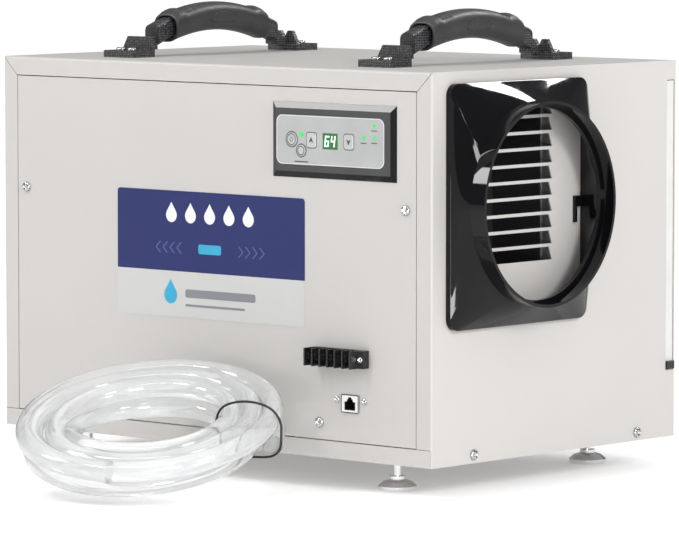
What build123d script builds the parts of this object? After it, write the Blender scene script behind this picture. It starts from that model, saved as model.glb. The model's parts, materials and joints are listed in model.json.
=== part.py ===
from build123d import *
import os
from math import atan2, cos, degrees, radians, sin

# Crawl-space dehumidifier: a sheet-steel cabinet on four levelling feet, with a duct collar on its
# right side, two carrying handles on top and a pull-out filter at the back.
# Every shape below is drawn in the cabinet's frame: x = 0 and y = 0 at the cabinet's middle, z = 0 at
# its underside, front towards -Y, duct towards +X. PLACE moves the whole machine onto its feet.

# ---- driving dimensions (mm) ----
WIDTH, DEPTH, HEIGHT = 488.0, 318.0, 320.0     # cabinet
SHEET = 1.2                                    # steel sheet
BEND = 2.0                                     # outside radius of a bent edge
SEAM = 0.8                                     # gap between two panels
FRAME_STRIP = 16.0                             # flanges seen round the front and back panels
BASE_STRIP = 14.3                              # height of the base pan's rim
FOOT_HEIGHT = 26.0
HOOD_REACH = 38.0                              # duct hood, from the side panel to its mouth
COLLAR_RADIUS = 84.25
FRONT_REACH = 17.0                             # terminal block and drain spigot stand this far out
SCREW_HEAD = 2.6
CLEARANCE = 0.3                                # between faces that move past each other

HX, HY = WIDTH / 2, DEPTH / 2
INNER_X, INNER_Y = HX - SHEET, HY - SHEET
ROOF = HEIGHT - SHEET
STRIP_X = HX - FRAME_STRIP                     # inner edge of the side flanges
STRIP_Z = HEIGHT - FRAME_STRIP                 # lower edge of the top flange
PANEL_X = STRIP_X - SEAM / 2 - 0.6             # front and back panels, half width
PANEL_Z0, PANEL_Z1 = BASE_STRIP + SEAM, STRIP_Z - SEAM / 2

PLACE = Location(((SCREW_HEAD - HOOD_REACH) / 2, 0, FOOT_HEIGHT))


# ---- small makers ----
def block(x0, x1, y0, y1, z0, z1):
    return Pos((x0 + x1) / 2, (y0 + y1) / 2, (z0 + z1) / 2) * Box(x1 - x0, y1 - y0, z1 - z0)


def rect(a0, a1, b0, b1):
    return Pos((a0 + a1) / 2, (b0 + b1) / 2) * Rectangle(a1 - a0, b1 - b0)


def prism_x(sketch, x0, x1):
    return extrude(Plane((x0, 0, 0), x_dir=(0, 1, 0), z_dir=(1, 0, 0)) * sketch, x1 - x0)


def prism_y(sketch, y0, y1):
    return extrude(Plane((0, y1, 0), x_dir=(1, 0, 0), z_dir=(0, -1, 0)) * sketch, y1 - y0)


def prism_z(sketch, z0, z1):
    return extrude(Pos(0, 0, z0) * sketch, z1 - z0)


def rod_x(radius, x0, x1, y, z):
    return prism_x(Pos(y, z) * Circle(radius), x0, x1)


def rod_y(radius, y0, y1, x, z):
    return prism_y(Pos(x, z) * Circle(radius), y0, y1)


def rod_z(radius, z0, z1, x, y):
    return prism_z(Pos(x, y) * Circle(radius), z0, z1)


def tube(points, radius, bend):
    path = FilletPolyline(*points, radius=bend)
    section = Plane(origin=path @ 0, z_dir=path % 0) * Circle(radius)
    return sweep(section, path=path)


def group(solids):
    return Compound([piece for item in solids for piece in item.solids()])


def save(name, shape):
    export_step(shape.moved(PLACE), f"parts/{name}.step")


# ---- fasteners ----
def pan_screw(head_radius, head_height, shank_radius, shank_length):
    """Cross-recessed pan-head screw, head towards +Z, the head's underside at z = 0."""
    head = fillet(rod_z(head_radius, 0, head_height, 0, 0).edges().group_by(Axis.Z)[-1], head_height * 0.7)
    slot = 0.22 * head_radius
    for turn in (0, 90):
        head -= Rot(0, 0, turn) * block(-0.6 * head_radius, 0.6 * head_radius, -slot, slot,
                                        0.45 * head_height, head_height)
    return head + rod_z(shank_radius, -shank_length, 0, 0, 0)


def screws(places, facing, *sizes):
    return [Plane(origin=place, z_dir=facing) * pan_screw(*sizes) for place in places]


SHANK, SCREW_HOLE = 1.9, 2.0
PANEL_SCREW = (4.4, SCREW_HEAD, SHANK, 6.0)
BACK_SCREW = (4.4, SCREW_HEAD, SHANK, 2.5)           # short, for the filter runs behind them
FRONT_SCREWS = [(-216.5, 207.8), (216.5, 207.8), (122.9, 29.0)]     # x, z
BACK_SCREWS = [(x, z) for x in (-221.0, 221.0) for z in (40.0, 290.0)]
SIDE_SCREWS = [(-106.7, 7.0), (106.7, 7.0)]                         # y, z

# ---- cabinet ----
FOOT_X, FOOT_Y = 177.0, 124.0
STUD_RADIUS = 3.0
SPIGOT_X, SPIGOT_Z, SPIGOT_RADIUS = 180.0, 30.0, 8.0
GLAND_X, GLAND_Z, GLAND_RADIUS = -190.0, 34.0, 8.0


def base_pan():
    half = INNER_X - 0.2
    pan = block(-half, half, -HY, HY, 0, BASE_STRIP)
    pan -= block(SHEET - half, half - SHEET, -INNER_Y, INNER_Y, SHEET, BASE_STRIP + 1)
    for x in (-FOOT_X, FOOT_X):
        for y in (-FOOT_Y, FOOT_Y):
            pan -= rod_z(STUD_RADIUS + CLEARANCE, -1, 3, x, y)
    for y, z in SIDE_SCREWS:
        pan -= rod_x(SCREW_HOLE, -HX, HX, y, z)
    return pan


def weld_nuts():
    nut = prism_z(RegularPolygon(7.5, 6), SHEET, SHEET + 6) - rod_z(STUD_RADIUS + CLEARANCE, 0, 10, 0, 0)
    return group(Pos(x, y) * nut for x in (-FOOT_X, FOOT_X) for y in (-FOOT_Y, FOOT_Y))


def side_panel():
    """The right-hand side wall with its front and back flanges, mitred at the top."""
    outer = rect(STRIP_X - SEAM / 4, HX, -HY, HY)
    outer = fillet(outer.vertices().sort_by(Axis.X)[-2:], BEND)
    inner = rect(STRIP_X - 5, INNER_X, -INNER_Y, INNER_Y)
    inner = fillet(inner.vertices().sort_by(Axis.X)[-2:], BEND - SHEET)
    panel = prism_z(outer - inner, 0, ROOF)
    for side in (-1, 1):
        near, far = sorted((side * (HY + 0.1), side * (HY - BEND - 0.1)))
        panel -= block(STRIP_X - 5, INNER_X, near, far, -1, BASE_STRIP + 0.4)
    drop = HEIGHT - HX - SEAM / 2
    mitre = Polyline((STRIP_X - 5, STRIP_X - 5 + drop), (HX - 0.9, HX - 0.9 + drop), (HX - 0.9, HEIGHT + 5),
                     (STRIP_X - 5, HEIGHT + 5), close=True)
    panel -= prism_y(make_face(mitre), -HY - 1, HY + 1)
    for y, z in SIDE_SCREWS:
        panel -= rod_x(SCREW_HOLE, INNER_X - 1, HX + 1, y, z)
    return panel


LOUVRE_Y0, LOUVRE_Y1 = -130.0, -7.0
LOUVRE_Z, LOUVRE_PITCH, LOUVRE_GAP, LOUVRES = 160.7, 13.4, 10.8, 10
FILTER_Y0, FILTER_Y1 = 146.5, 155.9
FILTER_Z0, FILTER_Z1 = 57.5, 303.0
FILTER_X0, FILTER_X1 = -226.0, HX - 0.6


def right_panel():
    panel = side_panel()
    slope = 4.0
    for row in range(LOUVRES):
        low = LOUVRE_Z + row * LOUVRE_PITCH
        high = low + LOUVRE_GAP
        slot = Polyline((LOUVRE_Y0 - slope, low), (LOUVRE_Y1, low), (LOUVRE_Y1 - slope, high),
                        (LOUVRE_Y0, high), close=True)
        panel -= prism_x(make_face(slot), INNER_X - 1, HX + 1)
    return panel - block(INNER_X - 1, HX + 1, FILTER_Y0 - 0.5, FILTER_Y1 + 0.5, FILTER_Z0 - 0.5, FILTER_Z1 + 0.7)


def top_cover():
    outer = rect(-HY, HY, STRIP_Z + SEAM / 2, HEIGHT)
    outer = fillet(outer.vertices().sort_by(Axis.Y)[-2:], BEND)
    inner = rect(-INNER_Y, INNER_Y, STRIP_Z - 5, ROOF)
    inner = fillet(inner.vertices().sort_by(Axis.Y)[-2:], BEND - SHEET)
    cover = prism_x(outer - inner, -HX, HX)
    start = STRIP_X
    mitre = make_face(Polyline((start, STRIP_Z + SEAM / 2), (start + ROOF - STRIP_Z - SEAM / 2, ROOF),
                               (HX + 5, ROOF), (HX + 5, STRIP_Z - 5), (start, STRIP_Z - 5), close=True))
    for side in (mitre, mirror(mitre, Plane.YZ)):
        cover -= prism_y(side, -HY - 1, HY + 1)
    for x, y, _ in handle_screw_places():
        cover -= rod_z(SCREW_HOLE, ROOF - 1, HEIGHT + 1, x, y)
    return cover


BEZEL_X, BEZEL_Z = (71.7, 206.7), (229.7, 291.6)
BEZEL_RISE, BEZEL_CHAMFER = 2.5, 5.0
BOX_X, BOX_Z = (80.5, 197.5), (238.5, 282.5)         # the control box behind the bezel
SOCKET_X, SOCKET_Z = (147.3, 166.2), (39.2, 54.2)
SOCKET_SCREWS = [(142.2, 49.3), (171.9, 49.3)]
TERMINAL_X, TERMINAL_Z = (120.0, 176.6), (77.0, 91.6)
TERMINAL_PITCH, TERMINALS = 8.25, 6
TERMINAL_EAR = 7.6                               # how far the ear stands out, its screw in the middle
TERMINAL_SCREW_X = 173.85


def front_panel():
    panel = block(-PANEL_X, PANEL_X, -HY, 10 - HY, PANEL_Z0, PANEL_Z1)
    panel -= block(SHEET - PANEL_X, PANEL_X - SHEET, -INNER_Y, 12 - HY, PANEL_Z0 + SHEET, PANEL_Z1 - SHEET)
    panel -= block(BOX_X[0] - 0.5, BOX_X[1] + 0.5, -HY - 1, -INNER_Y + 1, BOX_Z[0] - 0.5, BOX_Z[1] + 0.5)
    panel -= block(SOCKET_X[0], SOCKET_X[1], -HY - 1, -INNER_Y + 1, SOCKET_Z[0], SOCKET_Z[1])
    panel -= block(TERMINAL_X[0] + 4, TERMINAL_SCREW_X - 6, -HY - 1, -INNER_Y + 1, TERMINAL_Z[0] + 3, TERMINAL_Z[1] - 3)
    for x, z in FRONT_SCREWS + SOCKET_SCREWS + [(TERMINAL_SCREW_X, sum(TERMINAL_Z) / 2)]:
        panel -= rod_y(SCREW_HOLE, -HY - 1, -INNER_Y + 1, x, z)
    return panel


def back_panel():
    """A flat panel whose middle is a grille of round-ended slots."""
    sheet = rect(-PANEL_X, PANEL_X, PANEL_Z0, PANEL_Z1)
    sheet -= Pos(0, 183) * GridLocations(86, 11.5, 5, 20) * SlotOverall(76, 5.5)
    for x, z in BACK_SCREWS:
        sheet -= Pos(x, z) * Circle(SCREW_HOLE)
    sheet -= Pos(SPIGOT_X, SPIGOT_Z) * Circle(SPIGOT_RADIUS)
    sheet -= Pos(GLAND_X, GLAND_Z) * Circle(GLAND_RADIUS)
    return prism_y(sheet, INNER_Y, HY)


def panel_screws():
    made = screws([(x, -HY, z) for x, z in FRONT_SCREWS], (0, -1, 0), *PANEL_SCREW)
    made += screws([(x, HY, z) for x, z in BACK_SCREWS], (0, 1, 0), *BACK_SCREW)
    for side in (-1, 1):
        made += screws([(side * HX, y, z) for y, z in SIDE_SCREWS], (side, 0, 0), *PANEL_SCREW)
    return group(made)


# ---- feet ----
def foot():
    """Levelling foot: a domed steel pad with a threaded stud."""
    outline = make_face(Polyline((0, -FOOT_HEIGHT), (14.5, -FOOT_HEIGHT), (16, 2 - FOOT_HEIGHT),
                                 (16, 4 - FOOT_HEIGHT), (12, 7.5 - FOOT_HEIGHT), (6.5, 9.5 - FOOT_HEIGHT),
                                 (6.5, 12 - FOOT_HEIGHT), (STUD_RADIUS, 12 - FOOT_HEIGHT), (STUD_RADIUS, 17.0),
                                 (STUD_RADIUS - 1, 18.0), (0, 18.0), close=True))
    return revolve(Plane.XZ * outline, Axis.Z)


# ---- handles ----
HANDLE_X = 146.0
HANDLE_SCREW_Y = 108.0
BRACKET_Y0, BRACKET_Y1 = 91.0, 118.0
BRACKET_HALF = 17.5
WEB_TOP = HEIGHT + 17.5
CORE_END = 76.5
GRIP_END = 59.0


def bracket(notched):
    """The front bracket of a handle: a screwed plate, an upright web and the lug that holds the core."""
    plate = block(-BRACKET_HALF, BRACKET_HALF, -BRACKET_Y1, -BRACKET_Y0, HEIGHT, HEIGHT + 6)
    web = make_face(Polyline((-BRACKET_HALF, HEIGHT + 6), (BRACKET_HALF, HEIGHT + 6), (BRACKET_HALF, WEB_TOP),
                             (-BRACKET_HALF + 6.3, WEB_TOP), close=True))
    lug = block(-7, 7, -BRACKET_Y0, -CORE_END, HEIGHT + 6, WEB_TOP - 5)
    solid = plate + prism_y(web, -BRACKET_Y0 - 4, -BRACKET_Y0) + lug
    if notched:
        notch = make_face(Polyline((-6.1, WEB_TOP), (2.5, WEB_TOP), (-1.8, WEB_TOP - 7), close=True))
        solid -= prism_y(notch, -BRACKET_Y0 - 5, -BRACKET_Y0)
    for x in (-6.5, 6.5):
        solid -= rod_z(SCREW_HOLE, HEIGHT - 1, HEIGHT + 7, x, -HANDLE_SCREW_Y)
    return solid


def handle_brackets():
    """Plain brackets at the front, turned and notched ones at the back."""
    return group(Pos(x, 0) * Rot(0, 0, turn) * bracket(turn > 0)
                 for x in (-HANDLE_X, HANDLE_X) for turn in (0, 180))


def handle_screw_places():
    return [(x + shift, side * HANDLE_SCREW_Y, HEIGHT + 6) for x in (-HANDLE_X, HANDLE_X)
            for side in (-1, 1) for shift in (-6.5, 6.5)]


def handle_screws():
    return group(screws(handle_screw_places(), (0, 0, 1), 4.2, 2.4, SHANK, 12.0))


def arch(half_length, end_low, end_high, middle_low, middle_high):
    """A band in the YZ plane between two arcs, highest at y = 0."""
    low = ThreePointArc((-half_length, end_low), (0, middle_low), (half_length, end_low))
    high = ThreePointArc((half_length, end_high), (0, middle_high), (-half_length, end_high))
    return make_face([low, Line(low @ 1, high @ 0), high, Line(high @ 1, low @ 0)])


def handle_core(x):
    """Steel-cored tongue bar, round along its top edges."""
    bar = prism_x(arch(CORE_END, 330, 347, 346, 361), -8, 8)
    bar = fillet(bar.edges().filter_by(GeomType.CIRCLE).group_by(Axis.Z)[-1], 5)
    return Pos(x, 0) * bar


def handle_grip(x):
    """Soft arched sleeve, open at both ends."""
    shell = prism_x(arch(GRIP_END, 331.5, 355, 340.8, 365.5), -14.3, 14.3)
    shell = fillet(shell.edges().filter_by(GeomType.CIRCLE), 8)
    pocket = prism_x(arch(GRIP_END + 2, 334, 352, 343, 363), -11.5, 11.5)
    pocket -= block(-20, 20, -48, 48, 320, 380)
    return Pos(x, 0) * (shell - pocket) - handle_core(x)


# ---- duct hood ----
DUCT_Y, DUCT_Z = -54.4, 210.3
HOOD_Y, HOOD_Z, HOOD_PLATE = 174.8, 200.0, 5.0
COLLAR_X = HX + HOOD_REACH - 14.5                    # where the hood ends and its collar starts
COLLAR_SHOULDER = COLLAR_RADIUS - 5.5
CORNER_SPREAD = 13.0                      # degrees by which a corner's facet widens on the circle


def eight_sided(width, height, corner, as_circle=None):
    """A rounded rectangle, or a circle cut into the same eight edges, so that a loft joins like to like."""
    a, b = width / 2, height / 2
    edges = []
    for quarter in range(4):
        across, up = ((a, b), (b, a))[quarter % 2]
        turn = 90 * quarter
        first = degrees(atan2(up - corner, across))
        second = degrees(atan2(up, across - corner))
        if as_circle:
            first -= CORNER_SPREAD
            second += CORNER_SPREAD
            edges.append(CenterArc((0, 0), as_circle, turn - first, 2 * first))
            edges.append(CenterArc((0, 0), as_circle, turn + first, second - first))
        else:
            side = Line((across, corner - up), (across, up - corner))
            round_corner = CenterArc((across - corner, up - corner), corner, 0, 90)
            edges += [Rot(0, 0, turn) * side, Rot(0, 0, turn) * round_corner]
    return make_face(edges)


def hood_section(x, sketch):
    return Plane((x, DUCT_Y, DUCT_Z), x_dir=(0, 1, 0), z_dir=(1, 0, 0)) * sketch


def duct_hood():
    """Square-to-round hood, with a snap hook at each side that holds it on the side panel."""
    plate_top = HX + HOOD_PLATE
    wall = 3.0
    inner = (HOOD_Y - 2 * wall, HOOD_Z - 2 * wall, 7)
    hood = extrude(hood_section(HX, eight_sided(HOOD_Y, HOOD_Z, 10)), HOOD_PLATE)
    hood += loft([hood_section(plate_top, eight_sided(HOOD_Y, HOOD_Z, 10)),
                  hood_section(COLLAR_X, eight_sided(HOOD_Y, HOOD_Z, 10, COLLAR_RADIUS))], ruled=True)
    hood -= extrude(hood_section(HX - 1, eight_sided(*inner)), 3)
    hood -= loft([hood_section(HX + 2, eight_sided(*inner)),
                  hood_section(COLLAR_X - 1.5, eight_sided(*inner, COLLAR_SHOULDER))], ruled=True)
    hood -= rod_x(COLLAR_SHOULDER, COLLAR_X - 2, COLLAR_X + 1, DUCT_Y, DUCT_Z)
    for side in (-1, 1):
        reach = [DUCT_Y + side * distance for distance in (74.5, 77.0, 85.5)]
        hood += block(HX, HX + 3, min(reach[:2]), max(reach[:2]), 190, 212)
        hood += block(HX, HX + 3, min(reach), max(reach), 203, 212)
    return hood


def duct_collar():
    """Round collar that a flexible duct slides over, with a shoulder inside its root."""
    mouth = HX + HOOD_REACH
    collar = rod_x(COLLAR_RADIUS, COLLAR_X, mouth, DUCT_Y, DUCT_Z)
    collar -= rod_x(COLLAR_SHOULDER, COLLAR_X - 1, mouth, DUCT_Y, DUCT_Z)
    return collar - rod_x(COLLAR_RADIUS - 2.6, COLLAR_X + 2.5, mouth + 1, DUCT_Y, DUCT_Z)


# ---- control panel ----
FACE_Y = -HY - BEZEL_RISE                 # front of the bezel
OVERLAY = 0.4
BOARD_Y = -150.0                          # front of the circuit board
ROUND_BUTTONS = {"power_button": (94.7, 261.0, 5.6), "mode_button": (105.2, 252.1, 4.6)}
SQUARE_BUTTONS = {"up_button": (116.4, 261.0), "down_button": (157.3, 261.0)}
DISPLAY = ((128.4, 145.1), (254.0, 267.4))
LIGHTS = [(105.3, 265.3, 2.2), (173.3, 264.7, 1.5), (184.6, 275.1, 1.5), (184.6, 265.1, 1.5)]


def button_outline(name, grow=0.0):
    if name in ROUND_BUTTONS:
        x, z, radius = ROUND_BUTTONS[name]
        return Pos(x, z) * Circle(radius + grow)
    x, z = SQUARE_BUTTONS[name]
    return Pos(x, z) * RectangleRounded(10.2 + 2 * grow, 12.2 + 2 * grow, 2 + grow / 2)


def control_openings():
    cut = [button_outline(name, CLEARANCE) for name in (*ROUND_BUTTONS, *SQUARE_BUTTONS)]
    cut.append(rect(*DISPLAY[0], *DISPLAY[1]))
    cut += [Pos(x, z) * Circle(radius + 0.1) for x, z, radius in LIGHTS]
    return cut


def xz_rect(y, inset):
    """The bezel's outline at a given depth, drawn in by the inset."""
    outline = rect(BEZEL_X[0] + inset, BEZEL_X[1] - inset, BEZEL_Z[0] + inset, BEZEL_Z[1] - inset)
    return Plane((0, y, 0), x_dir=(1, 0, 0), z_dir=(0, -1, 0)) * outline


def control_bezel():
    """Chamfered bezel with the box behind it that holds the circuit board."""
    rim_y = -HY - 0.4
    front = block(*BEZEL_X, rim_y, -HY, *BEZEL_Z)
    front += loft([xz_rect(rim_y, 0), xz_rect(FACE_Y, BEZEL_CHAMFER)])
    front += block(*BOX_X, -HY, BOARD_Y + 4, *BOX_Z)
    front -= block(BOX_X[0] + 1.5, BOX_X[1] - 1.5, -HY, BOARD_Y + 5, BOX_Z[0] + 1.5, BOX_Z[1] - 1.5)
    for outline in control_openings():
        front -= prism_y(outline, FACE_Y - 1, -HY + 1)
    return front


def keypad_overlay():
    sheet = Pos(136.5, 260.75) * RectangleRounded(117.7, 40.5, 6)
    for outline in control_openings():
        sheet -= outline
    return prism_y(sheet, FACE_Y - OVERLAY, FACE_Y)


def button(name):
    cap = prism_y(button_outline(name), FACE_Y - 1.0, -HY + CLEARANCE + 0.1)
    cap = chamfer(cap.faces().sort_by(Axis.Y)[0].edges(), 0.3)
    collar = prism_y(button_outline(name, 0.6), -HY + CLEARANCE, -HY + CLEARANCE + 1.5)
    centre = button_outline(name).center()
    return cap + collar + rod_y(2, -HY + CLEARANCE + 1.5, BOARD_Y - 4, centre.X, centre.Y)


def display():
    return block(*DISPLAY[0], FACE_Y - 0.2, BOARD_Y, *DISPLAY[1])


def indicator_lights():
    return group(rod_y(radius, FACE_Y - OVERLAY - 0.1, BOARD_Y, x, z) for x, z, radius in LIGHTS)


def control_board():
    """Circuit board with a switch behind each button."""
    board = block(BOX_X[0] + 1.5, BOX_X[1] - 1.5, BOARD_Y, BOARD_Y + 1.6, BOX_Z[0] + 1.5, BOX_Z[1] - 1.5)
    for name in (*ROUND_BUTTONS, *SQUARE_BUTTONS):
        centre = button_outline(name).center()
        board += block(centre.X - 3, centre.X + 3, BOARD_Y - 3, BOARD_Y, centre.Y - 3, centre.Y + 3)
    return board


def front_label():
    return prism_y(Pos(-0.5, 159.2) * RectangleRounded(213.8, 106.4, 3), -HY - 0.3, -HY)


# ---- connections on the front ----
def terminal_block():
    """Barrier strip: cells between tall fins, with a mounting ear at the right."""
    z0, z1 = TERMINAL_Z
    ear_x = TERMINAL_X[0] + TERMINALS * TERMINAL_PITCH
    body = block(*TERMINAL_X, -HY - 4, -HY, z0, z1) + block(ear_x, TERMINAL_X[1], -HY - TERMINAL_EAR, -HY, z0, z1)
    body += block(TERMINAL_X[0], ear_x, -HY - 9, -HY, z0 + 4, z1 - 4)
    for cell in range(TERMINALS + 1):
        x = TERMINAL_X[0] + cell * TERMINAL_PITCH
        body += block(x, x + 1.6, -HY - FRONT_REACH, -HY, z0, z1)
    body -= rod_y(SCREW_HOLE, -HY - TERMINAL_EAR - 1, -HY + 1, TERMINAL_SCREW_X, (z0 + z1) / 2)
    for x in terminal_centres():
        body -= rod_y(1.4, -HY - 10, -HY - 3, x, (z0 + z1) / 2)
    return body


def terminal_centres():
    return [TERMINAL_X[0] + 0.8 + (cell + 0.5) * TERMINAL_PITCH for cell in range(TERMINALS)]


def connection_screws():
    """Screws of the terminal block's cells and ear, and of the network socket."""
    z = sum(TERMINAL_Z) / 2
    made = screws([(x, -HY - 9, z) for x in terminal_centres()], (0, -1, 0), 2.9, 2.0, 1.4, 6.0)
    made += screws([(TERMINAL_SCREW_X, -HY - TERMINAL_EAR, z)], (0, -1, 0), 2.6, 1.4, SHANK, TERMINAL_EAR + 6)
    return group(made + screws([(x, -HY, z) for x, z in SOCKET_SCREWS], (0, -1, 0), 2.9, 1.8, 1.4, 6.0))


def network_socket():
    """Panel-mounted network jack with a stepped mouth and two ears behind the sheet."""
    centre = sum(SOCKET_X) / 2
    body = block(*SOCKET_X, -HY - 1.2, -141, *SOCKET_Z)
    body += block(SOCKET_X[0] - 9, SOCKET_X[1] + 9, -INNER_Y, -INNER_Y + 2, 44.5, 54.0)
    mouth = rect(centre - 6, centre + 6, 41.4, 48.4) + rect(centre - 3.4, centre + 3.4, 48.4, 50.4)
    mouth += rect(centre - 2, centre + 2, 50.4, 52.0)
    body -= prism_y(mouth, -HY - 2, -HY + 12)
    for x, z in SOCKET_SCREWS:
        body -= rod_y(1.4, -HY, -INNER_Y + 3, x, z)
    return body


# ---- filter ----
def filter_frame():
    frame = block(FILTER_X0, FILTER_X1, FILTER_Y0, FILTER_Y1, FILTER_Z0, FILTER_Z1)
    border = 13.0
    opening = rect(FILTER_X0 + border, FILTER_X1 - border, FILTER_Z0 + border, FILTER_Z1 - border)
    frame -= prism_y(opening, FILTER_Y0 - 1, FILTER_Y1 + 1)
    return frame


def filter_media():
    """Pleated pad, zigzag in plan, filling the frame's opening."""
    border = 13.0
    x0, x1 = FILTER_X0 + border, FILTER_X1 - border
    pleats = 36
    step = (x1 - x0) / pleats
    front = [(x0 + i * step, FILTER_Y0 + (1.2 if i % 2 else 4.8)) for i in range(pleats + 1)]
    back = [(x, y + 3.0) for x, y in reversed(front)]
    return prism_z(make_face(Polyline(*front, *back, close=True)), FILTER_Z0 + border, FILTER_Z1 - border)


def filter_tab():
    grip = block(FILTER_X1, HX + 2.4, FILTER_Y0 - 0.1, FILTER_Y1 + 0.1, FILTER_Z0, FILTER_Z0 + 7)
    return chamfer(grip.faces().sort_by(Axis.X)[-1].edges(), 0.8)


def filter_rails():
    made = []
    for floor, lip in ((FILTER_Z0 - CLEARANCE, 1), (FILTER_Z1 + CLEARANCE, -1)):
        span = (FILTER_X0, INNER_X - 1)
        low, high = sorted((floor - lip * 1.2, floor + lip * 6))
        rail = block(*span, FILTER_Y0 - 1.5, INNER_Y, low, high)
        low, high = sorted((floor, floor + lip * 8))
        made.append(rail - block(span[0] - 1, span[1] + 1, FILTER_Y0 - CLEARANCE, FILTER_Y1 + CLEARANCE, low, high))
    return group(made)


# ---- air path ----
BULKHEAD_Y = -4.0
BULKHEAD_X = HX - 2.8                     # clear of the base pan's rim
PARTITION_X = -222.0
FAN_X, FAN_Z, FAN_RADIUS = 75.0, 203.0, 62.0
SCROLL_Y0, SCROLL_Y1 = -106.0, BULKHEAD_Y - SHEET
PLENUM_X0, PLENUM_X1 = 178.0, 231.0
OUTLET_Z0, OUTLET_Z1 = 257.0, 295.0
SHAFT_RADIUS = 4.0


def bulkhead():
    """Wall between the dry front and the coil chamber, with the fan's inlet and the pipe holes."""
    wall = block(PARTITION_X, BULKHEAD_X, BULKHEAD_Y - SHEET, BULKHEAD_Y, SHEET, ROOF)
    wall += block(PARTITION_X, PARTITION_X + SHEET, BULKHEAD_Y, INNER_Y - 2, SHEET, ROOF)
    wall -= rod_y(54, BULKHEAD_Y - 5, BULKHEAD_Y + 5, FAN_X, FAN_Z)
    for x, z in ((COMPRESSOR[0], 285), (ACCUMULATOR_X, 200)):
        wall -= rod_y(9, BULKHEAD_Y - 5, BULKHEAD_Y + 5, x, z)
    wall -= block(-226, PARTITION_X + 5, FILTER_Y0 - 2, FILTER_Y1 + 5, FILTER_Z0 - 3, FILTER_Z1 + 3)
    return wall


def scroll_outline(inset, reach):
    """The fan's spiral in the XZ plane, opening towards +X at its top."""
    def at(angle, radius):
        return (FAN_X + (radius - inset) * cos(radians(angle)), FAN_Z + (radius - inset) * sin(radians(angle)))

    stops = [(50, 69), (0, 71), (-90, 78), (-180, 85), (-270, 92)]
    edges = []
    for (a0, r0), (a1, r1) in zip(stops, stops[1:]):
        edges.append(ThreePointArc(at(a0, r0), at((a0 + a1) / 2, (r0 + r1) / 2), at(a1, r1)))
    top, tongue = edges[-1] @ 1, edges[0] @ 0
    floor = OUTLET_Z0 + inset
    edges += [Line(top, (reach, top.Y)), Line((reach, top.Y), (reach, floor)), Line((reach, floor), tongue)]
    return make_face(edges)


def blower_housing():
    housing = prism_y(scroll_outline(0, PLENUM_X0), SCROLL_Y0, SCROLL_Y1)
    housing -= prism_y(scroll_outline(1.5, PLENUM_X0 + 5), SCROLL_Y0 + SHEET, SCROLL_Y1 - SHEET)
    housing -= rod_y(54, SCROLL_Y1 - 3, SCROLL_Y1 + 1, FAN_X, FAN_Z)
    return housing - rod_y(SHAFT_RADIUS + 3, SCROLL_Y0 - 1, SCROLL_Y0 + 3, FAN_X, FAN_Z)


def blower_wheel():
    """Squirrel-cage wheel: a back disc with its hub, leaning blades and a front ring."""
    wheel = rod_y(FAN_RADIUS, -100, -98.5, 0, 0) + rod_y(10, -98.5, -80, 0, 0)
    wheel += rod_y(FAN_RADIUS, -16, -14, 0, 0) - rod_y(FAN_RADIUS - 11, -17, -13, 0, 0)
    blade = Pos(FAN_RADIUS - 6, 0, 0) * Rot(0, 25, 0) * block(-5, 5, -98.5, -16, -0.6, 0.6)
    wheel += [Rot(0, 360 * i / 30, 0) * blade for i in range(30)]
    wheel -= rod_y(SHAFT_RADIUS, -101, -79, 0, 0)
    return Pos(FAN_X, 0, FAN_Z) * wheel


def motor_shaft():
    return rod_y(SHAFT_RADIUS, -127, -78, FAN_X, FAN_Z)


def fan_motor():
    motor = rod_y(38, -130, SCROLL_Y0, FAN_X, FAN_Z)
    motor = fillet(motor.faces().sort_by(Axis.Y)[0].edges(), 4)
    return motor - rod_y(SHAFT_RADIUS + 0.06, -127.5, SCROLL_Y0 + 1, FAN_X, FAN_Z)


def outlet_plenum():
    y0, y1, z0, z1 = -132.0, BULKHEAD_Y - SHEET, 148.0, 297.0
    duct = block(PLENUM_X0, PLENUM_X1, y0, y1, z0, z1)
    duct -= block(PLENUM_X0 + 1.5, PLENUM_X1 + 1, y0 + 1.5, y1 - 1.5, z0 + 1.5, z1 - 1.5)
    return duct - block(PLENUM_X0 - 1, PLENUM_X0 + 3, SCROLL_Y0 + SHEET, SCROLL_Y1 - SHEET,
                        OUTLET_Z0 + 1.5, OUTLET_Z1 - 1.5)


# ---- cold circuit ----
COIL_X0, COIL_X1 = -165.0, 215.0
COIL_Z0, COIL_Z1 = 38.0, 301.0
ROWS, ROW_Z, ROW_PITCH = 8, 54.0, 33.0
TUBE_RADIUS = 4.0


def finned_coil(y):
    """Fins, end plates and one serpentine tube of straight runs and return bends, as one piece."""
    core = []
    fins = 32
    for i in range(fins + 1):
        x = COIL_X0 + i * (COIL_X1 - COIL_X0 - 2) / fins
        thick = 2.0 if i in (0, fins) else 0.8
        core.append(block(x, x + thick, y - 12, y + 12, COIL_Z0, COIL_Z1))
    for row in range(ROWS):
        core.append(rod_x(TUBE_RADIUS, COIL_X0 - 6, COIL_X1 + 4, y, ROW_Z + row * ROW_PITCH))
    for row in range(ROWS - 1):
        middle = ROW_Z + (row + 0.5) * ROW_PITCH
        x, turn = (COIL_X1 + 4, 1) if row % 2 == 0 else (COIL_X0 - 6, -1)
        section = Plane(origin=(x, y, middle + ROW_PITCH / 2), z_dir=(1, 0, 0)) * Circle(TUBE_RADIUS)
        core.append(revolve(section, Axis((x, y, middle), (0, turn, 0)), 180))
    return core[0] + core[1:]


COMPRESSOR = (-150.0, -72.0)
COMPRESSOR_RADIUS = 46.0
COMPRESSOR_TOP = 200.0
ACCUMULATOR_X = -81.0


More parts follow.
